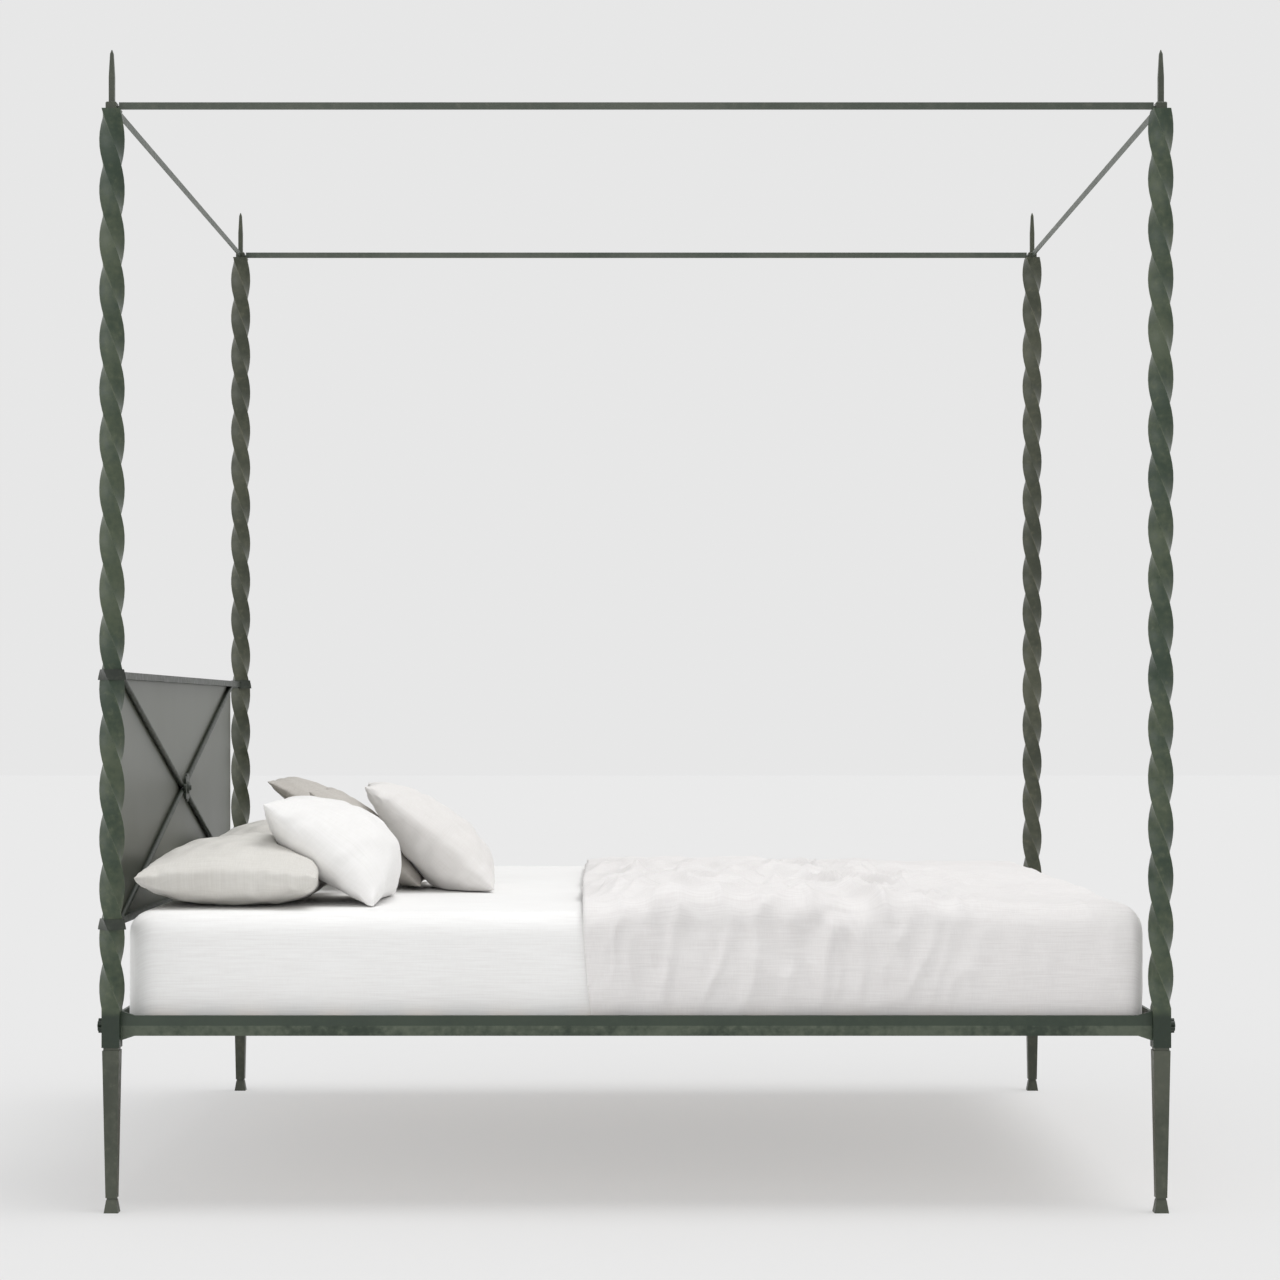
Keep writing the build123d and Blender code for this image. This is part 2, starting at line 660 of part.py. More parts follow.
# Coverlet over the foot half, tucked inside the rails, with its main folds
cover_under = 2 * cloth_clearance + sheet_thickness
cover_top_z = mattress_top_z + cover_under + coverlet_thickness
cover_far_x = mattress_shift_x + mattress_length
fold_axis_z = cover_top_z - fold_radius + fold_rise
with BuildPart() as coverlet:
    add(mattress_block(cover_under + coverlet_thickness, mattress_bottom_z + coverlet_hem_rise))
    for start, end in fold_lines:
        add(rod_between((*start, fold_axis_z), (*end, fold_axis_z), 2 * fold_radius))
        with Locations((*start, fold_axis_z), (*end, fold_axis_z)):
            Sphere(fold_radius)
    add(mattress_block(cover_under, mattress_bottom_z), mode=Mode.SUBTRACT)
    with BuildSketch(Plane.XY):
        with BuildLine():
            edge = ThreePointArc(
                (coverlet_edge_x, -mattress_width), (coverlet_edge_x - coverlet_edge_bow, 0),
                (coverlet_edge_x, mattress_width),
            )
            Polyline(edge @ 1, (cover_far_x, mattress_width), (cover_far_x, -mattress_width), edge @ 0)
        make_face()
    extrude(amount=2 * cover_top_z, mode=Mode.INTERSECT)
save(coverlet.part, "coverlet")


def pillow_outline(level, length, width, corner, edge):
    """One level of a pillow: four arcs through its corners and the middles of its edges.

    corner and edge are shares of the half sizes.
    """
    corner_x = length / 2 * corner
    corner_y = width / 2 * corner
    edge_x = length / 2 * edge
    edge_y = width / 2 * edge
    with BuildSketch(level) as outline:
        with BuildLine():
            ThreePointArc((-corner_x, -corner_y), (0, -edge_y), (corner_x, -corner_y))
            ThreePointArc((corner_x, -corner_y), (edge_x, 0), (corner_x, corner_y))
            ThreePointArc((corner_x, corner_y), (0, edge_y), (-corner_x, corner_y))
            ThreePointArc((-corner_x, corner_y), (-edge_x, 0), (-corner_x, -corner_y))
        make_face()
    return outline.sketch.face()


def pillow(centre, lean, yaw, length, width, rise, drop, crown_fullness, base_fullness):
    """A filled pillow: drawn-in seam, pinched corners and a crown on both sides of the seam.

    lean tips the face up from lying flat and yaw turns it about the vertical.
    The height over the seam is ((1 - u * u) * (1 - v * v)) ** fullness, with u and v from -1 to 1.
    """
    flat = cos(radians(lean))
    steep = sin(radians(lean))
    ahead = cos(radians(yaw))
    aside = sin(radians(yaw))
    seam = Plane(centre, x_dir=(flat * ahead, flat * aside, -steep), z_dir=(steep * ahead, steep * aside, flat))
    with BuildPart() as cushion:
        for height, fullness in ((rise, crown_fullness), (-drop, base_fullness)):
            outlines = [pillow_outline(seam, length, width, 1, 1 - pillow_seam_draw)]
            for level in pillow_levels[1:]:
                corner = (1 - level ** (0.5 / fullness)) ** 0.5
                edge = (1 - level ** (1 / fullness)) ** 0.5
                outlines.append(pillow_outline(seam.offset(level * height), length, width, corner, edge))
            loft(outlines)
    return cushion.part


# Pillows and cushions: two lie flat at the head, four lean in front of them
mattress_head_x = mattress_shift_x - mattress_length / 2
sheet_top_z = mattress_top_z + cloth_clearance + sheet_thickness
for name, ((from_head, y, above_sheet), *shape) in pillows.items():
    save(pillow((mattress_head_x + from_head, y, sheet_top_z + above_sheet), *shape), f"pillow_{name}")
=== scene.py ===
import math

import bmesh
import bpy
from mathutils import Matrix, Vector, noise
from mathutils.bvhtree import BVHTree


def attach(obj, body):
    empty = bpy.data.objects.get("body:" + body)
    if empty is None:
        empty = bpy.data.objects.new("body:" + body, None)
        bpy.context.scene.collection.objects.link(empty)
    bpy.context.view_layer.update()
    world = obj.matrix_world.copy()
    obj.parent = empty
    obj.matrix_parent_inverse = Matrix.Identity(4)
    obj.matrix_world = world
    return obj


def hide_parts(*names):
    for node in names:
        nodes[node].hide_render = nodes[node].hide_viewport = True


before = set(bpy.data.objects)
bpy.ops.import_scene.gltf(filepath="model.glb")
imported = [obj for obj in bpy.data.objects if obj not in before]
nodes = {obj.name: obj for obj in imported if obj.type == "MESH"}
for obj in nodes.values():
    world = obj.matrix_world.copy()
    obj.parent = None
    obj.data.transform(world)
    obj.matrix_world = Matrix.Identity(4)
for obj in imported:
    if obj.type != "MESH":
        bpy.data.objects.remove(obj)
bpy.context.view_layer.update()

scene = bpy.context.scene

# Sizes of the bed in metres, as in the CAD source
# Posts: where they stand, their side, where the twist starts and how high a quarter turn is
POST_X = 1.03
POST_Y = 0.93
POST_SIDE = 0.035
TWIST_START = 0.402
TWIST_QUARTER = 0.098
# Height where the side rails change from their upper part, darkened with painted shade, to the lower one
RAIL_MIDDLE = 0.3665
# Mattress: shift towards the head, size, heights, radius of the corners and of the top edge
BED_SHIFT = -0.008
BED_LENGTH = 2.0
BED_WIDTH = 1.8
BED_BOTTOM = 0.3695
BED_TOP = 0.5855
BED_CORNER = 0.06
BED_ROUND = 0.042
# Fitted sheet: gap to the mattress, thickness, and height of its hem over the mattress bottom
CLOTH_GAP = 0.0003
SHEET_THICK = 0.0015
SHEET_HEM = 0.004
SHEET_TOP = BED_TOP + CLOTH_GAP + SHEET_THICK
# Coverlet: gap to the sheet, thickness, where its edge lies, and height of its hem
COVER_GAP = 0.0003
COVER_THICK = 0.010
COVER_GROW = CLOTH_GAP + SHEET_THICK + COVER_GAP + COVER_THICK
COVER_EDGE = -0.105
COVER_HEM = 0.012


def share(value, start, end):
    """How far a value lies from start to end, kept from 0 to 1."""
    return max(0.0, min(1.0, (value - start) / (end - start)))


def eased(part):
    """A share from 0 to 1 that starts and ends softly."""
    return part * part * (3 - 2 * part)


# Steps that the finishes are made of

def shade(tree, kind, inputs=None, **settings):
    """Add one step to a finish; inputs may be sockets, which are linked, or values."""
    made = tree.nodes.new(kind)
    for key, value in settings.items():
        setattr(made, key, value)
    for key, value in (inputs or {}).items():
        if isinstance(value, bpy.types.NodeSocket):
            tree.links.new(value, made.inputs[key])
        else:
            made.inputs[key].default_value = value
    return made


def calculate(tree, operation, first, second=0.0):
    """One step of arithmetic."""
    return shade(tree, "ShaderNodeMath", {0: first, 1: second}, operation=operation).outputs[0]


def weighted(tree, *parts):
    """Sum of values, each given with its weight."""
    total = None
    for value, weight in parts:
        scaled = calculate(tree, "MULTIPLY", value, weight)
        total = scaled if total is None else calculate(tree, "ADD", total, scaled)
    return total


def blend_colour(tree, factor, first, second):
    """Mix two colours by a factor."""
    mixed = shade(tree, "ShaderNodeMix", {0: factor, 6: first, 7: second}, data_type="RGBA")
    return mixed.outputs[2]


def ramp(tree, value, low, high, to_low=0.0, to_high=1.0):
    """Map a range of values smoothly to another."""
    made = shade(
        tree, "ShaderNodeMapRange",
        {"Value": value, "From Min": low, "From Max": high, "To Min": to_low, "To Max": to_high},
        interpolation_type="SMOOTHSTEP",
    )
    return made.outputs["Result"]


def axes_of(tree, vector):
    """The three parts of a vector."""
    return shade(tree, "ShaderNodeSeparateXYZ", {0: vector}).outputs


def material(name):
    """A new finish with its tree and its main surface."""
    made = bpy.data.materials.new(name)
    made.use_nodes = True
    return made, made.node_tree, made.node_tree.nodes["Principled BSDF"]


def object_point(tree):
    """The place on the bed, in metres."""
    return shade(tree, "ShaderNodeTexCoord").outputs["Object"]


def scaled_point(tree, point, scale):
    """A place stretched along each axis."""
    return shade(tree, "ShaderNodeMapping", {"Vector": point, "Scale": scale}).outputs[0]


def cloud(tree, point, scale, detail=3.0, rough=0.55):
    """Soft noise at so many features a metre."""
    return shade(
        tree, "ShaderNodeTexNoise", {"Vector": point, "Scale": scale, "Detail": detail, "Roughness": rough}
    ).outputs["Fac"]


def set_bump(tree, main, height, strength, distance):
    """Bump a surface by a height; distance is its depth in metres."""
    bump = shade(tree, "ShaderNodeBump", {"Strength": strength, "Distance": distance, "Height": height})
    tree.links.new(bump.outputs[0], main.inputs["Normal"])


def linear(red, green, blue):
    """Linear colour of a screen colour given from 0 to 255."""
    return tuple(((c / 255 + 0.055) / 1.055) ** 2.4 for c in (red, green, blue)) + (1.0,)


# Metal
# Dark colour of the post blocks below the twist: painted shade
POST_BLOCK_SHADE = linear(28, 42, 29)


def off_post(tree, place, post):
    """Distance from the axis of the nearest post, along x or y."""
    side = calculate(tree, "SIGN", place)
    return calculate(tree, "SUBTRACT", place, calculate(tree, "MULTIPLY", side, post))


def post_edges(tree, point):
    """Where the twisted edges of the posts are rubbed, from 0 to about a half, in patches."""
    x, y, z = axes_of(tree, point)
    flat = shade(
        tree, "ShaderNodeCombineXYZ", {0: off_post(tree, x, POST_X), 1: off_post(tree, y, POST_Y)}
    ).outputs[0]
    rise = calculate(tree, "MAXIMUM", calculate(tree, "SUBTRACT", z, TWIST_START), 0.0)
    turn = calculate(tree, "MULTIPLY", rise, math.pi / 2 / TWIST_QUARTER)
    square = shade(tree, "ShaderNodeVectorRotate", {"Vector": flat, "Angle": turn}, rotation_type="Z_AXIS")
    across, forth, _ = axes_of(tree, square.outputs[0])
    to_edge = calculate(
        tree, "MINIMUM", calculate(tree, "ABSOLUTE", across), calculate(tree, "ABSOLUTE", forth)
    )
    edge = ramp(tree, to_edge, low=POST_SIDE * 0.43, high=POST_SIDE * 0.5)
    patch = ramp(tree, cloud(tree, point, scale=26.0), low=0.42, high=0.62)
    return calculate(tree, "MULTIPLY", calculate(tree, "MULTIPLY", edge, patch), 0.55)


def iron(name, dark, light, worn, post=False, rail=False):
    """Satin paint over hammered iron, mottled, with rubbed edges, and painted shade darkening the post blocks
    and the upper half of the rails.
    """
    made, tree, main = material(name)
    point = object_point(tree)
    height_above = axes_of(tree, point)[2]
    broad = cloud(tree, point, scale=5.0, detail=2.0)
    fine = cloud(tree, point, scale=70.0, detail=4.0)
    tone = weighted(tree, (broad, 0.6), (fine, 0.4))
    colour = blend_colour(tree, ramp(tree, tone, low=0.36, high=0.64), dark, light)
    rubbed = ramp(tree, fine, low=0.56, high=0.78, to_high=0.3)
    if post:
        rubbed = calculate(tree, "MAXIMUM", rubbed, post_edges(tree, point))
        # Painted shade: the post block below the twist is darkened, and rubbed less
        block = ramp(tree, height_above, low=TWIST_START - 0.02, high=TWIST_START, to_low=1.0, to_high=0.0)
        colour = blend_colour(tree, block, colour, POST_BLOCK_SHADE)
        unrubbed = ramp(tree, block, low=0.0, high=1.0, to_low=1.0, to_high=0.2)
        rubbed = calculate(tree, "MULTIPLY", rubbed, unrubbed)
    colour = blend_colour(tree, rubbed, colour, worn)
    # Painted shade: a rail is darkened above its middle height, towards its dark colour
    if rail:
        upper = ramp(tree, height_above, low=RAIL_MIDDLE - 0.001, high=RAIL_MIDDLE + 0.001, to_high=0.85)
        colour = blend_colour(tree, upper, colour, dark)
    tree.links.new(colour, main.inputs["Base Color"])
    roughness = ramp(tree, fine, low=0.3, high=0.7, to_low=0.36, to_high=0.5)
    tree.links.new(roughness, main.inputs["Roughness"])
    dents = shade(
        tree, "ShaderNodeTexVoronoi", {"Vector": point, "Scale": 75.0, "Smoothness": 1.0}, feature="SMOOTH_F1"
    ).outputs["Distance"]
    hammered = weighted(tree, (dents, 0.7), (fine, 0.3))
    set_bump(tree, main, hammered, strength=0.35, distance=0.0012)
    main.inputs["Specular IOR Level"].default_value = 0.45
    return made


def panel_paint():
    """Smooth satin paint on sheet steel, faintly uneven."""
    made, tree, main = material("panel_satin")
    point = object_point(tree)
    brushed = cloud(tree, scaled_point(tree, point, (1.0, 60.0, 6.0)), scale=1.0)
    broad = cloud(tree, point, scale=3.0)
    tone = weighted(tree, (brushed, 0.06), (broad, 0.94))
    mottle = ramp(tree, tone, low=0.35, high=0.65)
    colour = blend_colour(tree, mottle, linear(86, 89, 80), linear(92, 95, 86))
    tree.links.new(colour, main.inputs["Base Color"])
    roughness = ramp(tree, broad, low=0.3, high=0.7, to_low=0.36, to_high=0.40)
    tree.links.new(roughness, main.inputs["Roughness"])
    set_bump(tree, main, brushed, strength=0.015, distance=0.0003)
    main.inputs["Specular IOR Level"].default_value = 0.35
    return made


def plain_steel():
    """Zinc-grey steel for the fastenings under the bed."""
    made, tree, main = material("zinc_steel")
    point = object_point(tree)
    spangle = shade(tree, "ShaderNodeTexVoronoi", {"Vector": point, "Scale": 160.0}).outputs["Distance"]
    mottle = ramp(tree, spangle, low=0.1, high=0.7)
    colour = blend_colour(tree, mottle, linear(140, 141, 140), linear(176, 177, 176))
    tree.links.new(colour, main.inputs["Base Color"])
    main.inputs["Metallic"].default_value = 0.9
    roughness = ramp(tree, spangle, low=0.1, high=0.7, to_low=0.3, to_high=0.45)
    tree.links.new(roughness, main.inputs["Roughness"])
    return made


def slat_wood():
    """Planed softwood with grain along each slat."""
    made, tree, main = material("slat_pine")
    along = scaled_point(tree, object_point(tree), (60.0, 1.6, 60.0))
    grain = cloud(tree, along, scale=1.0, detail=5.0, rough=0.6)
    rings = shade(
        tree, "ShaderNodeTexWave",
        {"Vector": along, "Scale": 0.35, "Distortion": 3.0, "Detail": 3.0}, bands_direction="X",
    ).outputs["Fac"]
    tone = weighted(tree, (grain, 0.5), (rings, 0.5))
    figure = ramp(tree, tone, low=0.3, high=0.75)
    colour = blend_colour(tree, figure, linear(206, 172, 128), linear(172, 132, 88))
    tree.links.new(colour, main.inputs["Base Color"])
    roughness = ramp(tree, grain, low=0.3, high=0.7, to_low=0.5, to_high=0.65)
    tree.links.new(roughness, main.inputs["Roughness"])
    set_bump(tree, main, tone, strength=0.2, distance=0.0005)
    return made


# Cloth
THREADS_PER_M = 110.0


def yarn(tree, flat, direction):
    """Rounded threads side by side along one direction of the cloth."""
    return shade(
        tree, "ShaderNodeTexWave",
        {"Vector": flat, "Scale": THREADS_PER_M, "Distortion": 1.5, "Detail Scale": 2.0},
        bands_direction=direction,
    ).outputs["Fac"]


def cloth(name, light, shadow, slub):
    """Plain weave in flat cloth metres, with slubs along the weft and a soft sheen."""
    made, tree, main = material(name)
    flat = shade(tree, "ShaderNodeUVMap", uv_map="cloth").outputs[0]
    slubs = cloud(tree, scaled_point(tree, flat, (11.0, 330.0, 1.0)), scale=1.0, detail=4.0, rough=0.65)
    threads = cloud(tree, scaled_point(tree, flat, (520.0, 40.0, 1.0)), scale=1.0, detail=2.0)
    broad = cloud(tree, flat, scale=4.0)
    crossing = calculate(tree, "MULTIPLY", yarn(tree, flat, "X"), yarn(tree, flat, "Y"))
    rest = (1 - slub) / 2
    tone = weighted(tree, (slubs, slub), (threads, rest), (broad, rest))
    colour = blend_colour(tree, ramp(tree, tone, low=0.32, high=0.64), shadow, light)
    tree.links.new(colour, main.inputs["Base Color"])
    height = weighted(tree, (slubs, 0.6), (crossing, 0.2), (threads, 0.2))
    set_bump(tree, main, height, strength=0.35, distance=0.0006)
    roughness = ramp(tree, threads, low=0.3, high=0.7, to_low=0.86, to_high=0.95)
    tree.links.new(roughness, main.inputs["Roughness"])
    main.inputs["Specular IOR Level"].default_value = 0.2
    main.inputs["Sheen Weight"].default_value = 0.1
    main.inputs["Sheen Roughness"].default_value = 0.5
    return made


green = iron("iron_green", linear(42, 58, 43), linear(72, 82, 62), linear(98, 104, 84), post=True)
olive = iron("iron_olive", linear(52, 57, 43), linear(74, 77, 61), linear(106, 104, 86), post=True)
# The rail finish carries painted shade on the upper half of each rail
rail_paint_and_shade = iron("iron_rail", linear(36, 50, 37), linear(84, 93, 78), linear(104, 110, 94), rail=True)
canopy_paint = iron("iron_canopy", linear(64, 72, 62), linear(82, 87, 78), linear(106, 108, 97))
leg_paint = iron("iron_leg", linear(58, 63, 52), linear(76, 80, 68), linear(104, 104, 90))
dark_paint = iron("iron_dark", linear(36, 42, 35), linear(52, 58, 49), linear(96, 98, 86))
panel = panel_paint()
zinc = plain_steel()
pine = slat_wood()
sheet_cloth = cloth("sheet_cotton", linear(249, 249, 248), linear(240, 239, 238), slub=0.65)
cover_cloth = cloth("coverlet_cotton", linear(237, 235, 234), linear(226, 223, 222), slub=0.55)
ticking = cloth("mattress_ticking", linear(232, 230, 224), linear(214, 211, 203), slub=0.3)
beige = cloth("linen_beige", linear(224, 222, 217), linear(211, 208, 202), slub=0.4)
white = cloth("cotton_white", linear(248, 247, 246), linear(240, 239, 237), slub=0.4)
cream = cloth("cotton_cream", linear(238, 236, 234), linear(229, 226, 223), slub=0.4)
grey = cloth("linen_grey", linear(205, 201, 195), linear(186, 181, 174), slub=0.4)


def paint(name):
    """The finish of each metal or wooden piece, by its name."""
    if name.startswith("post_"):
        return green if name.endswith("_near") else olive
    if name.startswith("canopy_bar_"):
        return canopy_paint
    if name.startswith(("canopy_cap_", "finial_")):
        return leg_paint if name.endswith("_near") else olive
    if name.startswith(("leg_", "foot_")) and name != "leg_studs":
        return leg_paint
    if name.startswith(("side_rail_", "end_rail_")):
        return rail_paint_and_shade
    if name.startswith(("cross_rod_", "head_collar_", "head_bar_")) or name == "rosette":
        return dark_paint
    return {"rail_nuts": green, "head_panel": panel, "slats": pine}.get(name, zinc)


# Edges of the metal and wood are eased by a little, those of the thin panel by less
PIECE_EASE = 0.0009
PANEL_EASE = 0.0005
SHARP_EDGE = math.radians(40)
soft_nodes = {"mattress", "fitted_sheet", "coverlet"} | {n for n in nodes if n.startswith("pillow_")}
for node_name, part in nodes.items():
    if node_name in soft_nodes:
        continue
    part.data.materials.clear()
    part.data.materials.append(paint(node_name))
    rounding = part.modifiers.new("eased_edges", "BEVEL")
    rounding.width = PANEL_EASE if node_name == "head_panel" else PIECE_EASE
    rounding.segments = 2
    rounding.limit_method = "ANGLE"
    rounding.angle_limit = SHARP_EDGE
    rounding.harden_normals = True


# Wrapped cloth round the mattress
# Smallest radius of a corner of the cloth
TIGHTEST_CORNER = 0.004
# Height of the narrow row of cloth along a hem
HEM_ROW = 0.0015
# Upright part of a normal above which cloth counts as lying on top
LEVEL = 0.7


def outline_point(side, along, inset, corner):
    """A point of the mattress outline: side 0 to 3 from the near side round, along from -1 to 1.

    inset draws the outline in; the corners are rounded to the radius corner before that.
    """
    half_x = BED_LENGTH / 2 - inset
    half_y = BED_WIDTH / 2 - inset
    radius = max(TIGHTEST_CORNER, corner - inset)
    half = half_x if side % 2 == 0 else half_y
    straight = half - radius
    path = abs(along) * (straight + radius * math.pi / 4)
    forth = path
    back = 0.0
    if path > straight:
        angle = (path - straight) / radius
        forth = straight + radius * math.sin(angle)
        back = radius * (1 - math.cos(angle))
    forth = math.copysign(forth, along)
    if side == 0:
        return Vector((BED_SHIFT + forth, -half_y + back))
    if side == 1:
        return Vector((BED_SHIFT + half_x - back, forth))
    if side == 2:
        return Vector((BED_SHIFT - forth, half_y - back))
    return Vector((BED_SHIFT - half_x + back, -forth))


def new_piece(name, made):
    """A piece from a finished mesh."""
    mesh = bpy.data.meshes.new(name)
    made.to_mesh(mesh)
    made.free()
    piece = bpy.data.objects.new(name, mesh)
    scene.collection.objects.link(piece)
    return piece


def side_profile(top_z, bend, hem_z, drops, arcs):
    """Insets and heights from the hem up the side and round the top edge."""
    profile = [(0.0, hem_z + (top_z - bend - hem_z) * k / drops) for k in range(drops)]
    profile.insert(1, (0.0, hem_z + HEM_ROW))
    for k in range(arcs + 1):
        angle = math.pi / 2 * k / arcs
        profile.append((bend * (1 - math.cos(angle)), top_z - bend + bend * math.sin(angle)))
    return profile


def wrapped_mesh(name, grow, hem_z, columns, rows, drops, arcs=5, corner=BED_CORNER):
    """Cloth over the top and down all four sides of the mattress, grown off it by a distance.

    columns run along x, rows along y and drops down the sides; arcs round the top edge.
    """
    made = bmesh.new()
    uv = made.loops.layers.uv.new("cloth")
    top_z = BED_TOP + grow
    rings = []
    for inset, z in side_profile(top_z, BED_ROUND + grow, hem_z, drops, arcs):
        ring = []
        for side, count in enumerate((columns, rows, columns, rows)):
            for step in range(count):
                x, y = outline_point(side, 2 * step / count - 1, inset - grow, corner)
                ring.append(made.verts.new((x, y, z)))
        rings.append(ring)
    total = 2 * (columns + rows)
    for lower, upper in zip(rings, rings[1:]):
        for index in range(total):
            after = (index + 1) % total
            made.faces.new((lower[index], lower[after], upper[after], upper[index]))
    rim = rings[-1]
    grid = {}
    for i in range(columns + 1):
        grid[i, 0] = rim[i]
        grid[i, rows] = rim[(columns + rows + columns - i) % total]
    for j in range(rows + 1):
        grid[columns, j] = rim[columns + j]
        grid[0, j] = rim[(2 * columns + rows + rows - j) % total]
    for i in range(1, columns):
        for j in range(1, rows):
            a = i / columns
            b = j / rows
            x = grid[i, 0].co.x * (1 - b) + grid[i, rows].co.x * b
            y = grid[0, j].co.y * (1 - a) + grid[columns, j].co.y * a
            grid[i, j] = made.verts.new((x, y, top_z))
    for i in range(columns):
        for j in range(rows):
            made.faces.new((grid[i, j], grid[i + 1, j], grid[i + 1, j + 1], grid[i, j + 1]))
    set_flat_map(made, uv, top_z)
    return new_piece(name, made)


def set_flat_map(made, uv, top_z):
    """Flat cloth metres for a wrapped mesh: the drop below the top goes on outwards."""
    for face in made.faces:
        face.normal_update()
        normal = face.normal
        for loop in face.loops:
            x, y, z = loop.vert.co
            if abs(normal.z) > LEVEL:
                loop[uv].uv = (x, y)
            elif abs(normal.x) > abs(normal.y):
                loop[uv].uv = (math.copysign(abs(x) + top_z - z, x), y)
            else:
                loop[uv].uv = (x, math.copysign(abs(y) + top_z - z, y))


def move_points(piece, offset):
    """Move each point along its normal by offset(point, normal), in metres."""
    mesh = piece.data
    normals = [v.normal.copy() for v in mesh.vertices]
    for vert, normal in zip(mesh.vertices, normals):
        vert.co = vert.co + normal * offset(vert.co, normal)
    mesh.update()


def waves(point, scale, seed):
    """Soft noise from -1 to 1 at so many features a metre."""
    return noise.noise(Vector((point.x * scale + seed, point.y * scale, point.z * scale)))


def finish_soft(piece, body, finish, stands_for):
    """Set a soft piece's finish and body, and hide the solid that it stands for."""
    for face in piece.data.polygons:
        face.use_smooth = True
    piece.data.materials.clear()
    piece.data.materials.append(finish)
    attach(piece, body)
    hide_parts(stands_for)


def thicken(piece, name, thickness):
    """Give cloth its thickness, inwards."""
    layer = piece.modifiers.new(name, "SOLIDIFY")
    layer.thickness = thickness
    layer.offset = -1.0


# Mattress: a soft block that shows between the slats from below
# It stays a little inside its ticking's size, and its underside is drawn in over a low bevel
BLOCK_GROW = -0.001
BLOCK_BEVEL = 0.02
BLOCK_LIFT = 0.0006
BLOCK_DRAW = 0.98
block = wrapped_mesh("mattress_block", BLOCK_GROW, BED_BOTTOM + BLOCK_BEVEL, columns=60, rows=54, drops=6)
closed = bmesh.new()
closed.from_mesh(block.data)
rim_edges = [e for e in closed.edges if e.is_boundary]
under = bmesh.ops.extrude_edge_only(closed, edges=rim_edges)
for vert in under["geom"]:
    if isinstance(vert, bmesh.types.BMVert):
        vert.co.z = BED_BOTTOM + BLOCK_LIFT
        vert.co.x = BED_SHIFT + (vert.co.x - BED_SHIFT) * BLOCK_DRAW
        vert.co.y = vert.co.y * BLOCK_DRAW
bmesh.ops.contextual_create(closed, geom=[e for e in closed.edges if e.is_boundary])
bmesh.ops.recalc_face_normals(closed, faces=closed.faces)
closed.to_mesh(block.data)
closed.free()
finish_soft(block, "mattress_body", ticking, "mattress")

# Fitted sheet, stretched over the mattress, with faint pulls along its sides
# Pulls and swells: depth and number a metre; the pulls are longer down than along
PULL_DEPTH = 0.0016
PULLS_PER_M = 9.0
PULL_UPRIGHT = 0.25
SWELL_DEPTH = 0.0012
SWELLS_PER_M = 2.6
SHEET_FACING = 0.0012
sheet = wrapped_mesh(
    "fitted_sheet_cloth", CLOTH_GAP + SHEET_THICK, BED_BOTTOM + SHEET_HEM, columns=150, rows=136, drops=14
)


def sheet_ripple(point, normal):
    """Pulls down the sides of the sheet, deeper towards its hem, and a faint swell all over."""
    on_side = 1.0 - max(0.0, normal.z)
    low = share(point.z, BED_TOP, BED_BOTTOM)
    upright = Vector((point.x, point.y, point.z * PULL_UPRIGHT))
    drawn = waves(upright, PULLS_PER_M, 3.0) * PULL_DEPTH * on_side * (0.3 + low)
    return drawn + waves(point, SWELLS_PER_M, 11.0) * SWELL_DEPTH


move_points(sheet, sheet_ripple)
finish_soft(sheet, "mattress_body", sheet_cloth, "fitted_sheet")
thicken(sheet, "cloth_thickness", SHEET_FACING)

# Coverlet: soft cloth over the foot half, with folds and rumples, tucked behind the rails
# Folds: height, half width, lift of the cloth over them, and where each starts and ends
FOLD_RISE = 0.0080
FOLD_SPREAD = 0.034
FOLD_LIFT = 0.0015
FOLD_LINES = [
    ((0.06, -0.52), (0.33, -0.70)),
    ((0.24, -0.33), (0.52, -0.56)),
    ((0.03, -0.06), (0.26, 0.06)),
    ((0.43, -0.04), (0.76, -0.26)),
    ((0.18, 0.38), (0.47, 0.56)),
    ((0.62, 0.28), (0.83, 0.09)),
]
COVER_CORNER = 0.018
COVER_WADDING = 0.007
# Edge across the bed: its bow, how far it is askew, its slant down the sides and how much it wanders
EDGE_BOW = 0.006
EDGE_SKEW = 0.022
EDGE_FALL = 0.018
EDGE_WANDER = 0.004
# Points this far before the edge go, and points of the rim within this reach are drawn on to it
EDGE_SPARE = 0.006
EDGE_REACH = 0.1
# Height of the rumples on top and of the pleats down the sides, which start this far inside the cloth
CREST_ABOVE = 0.050
CREST_ASIDE = 0.024
SIDE_INWARD = 0.003
# Rumples of three sizes: lean, drift, length along and across the bed, seed, share and sharpness
RUMPLES = [
    (0.20, 1, 0.15, 0.42, 1.0, 0.64, 1.2),
    (-0.12, -1, 0.10, 0.22, 4.0, 0.30, 1.2),
    (0.35, 1, 0.06, 0.14, 9.0, 0.06, 1.0),
]
# The rumples lie lower from the first place to the second along the bed, and so across it
SMOOTH_FROM = 0.42
SMOOTH_TO = 0.80
SMOOTHED = 0.8
FLATTER_FROM = 0.0
FLATTER_TO = 0.80
FLATTENED = 0.68
# They start from this share of their height at the edge, and grow over this distance from it
EDGE_SHARE = 0.3
EDGE_GROWTH = 0.06
# Heights between which the pleats grow from nothing at the tucked hem
PLEATS_FROM = BED_BOTTOM + COVER_HEM - 0.010
PLEATS_TO = PLEATS_FROM + 0.10


def fold_height(x, y):
    """Rise of the folds at a point of the coverlet's top."""
    here = Vector((x, y))
    best = 0.0
    for start, end in FOLD_LINES:
        start = Vector(start)
        span = Vector(end) - start
        along = share((here - start).dot(span), 0.0, span.length_squared)
        away = (here - start - span * along).length
        best = max(best, FOLD_RISE * math.exp(-((away / FOLD_SPREAD) ** 2)))
    return best


def lie_over_folds(point, normal):
    """Rise of the coverlet's top over its folds."""
    return (fold_height(point.x, point.y) + FOLD_LIFT) * max(0.0, normal.z)


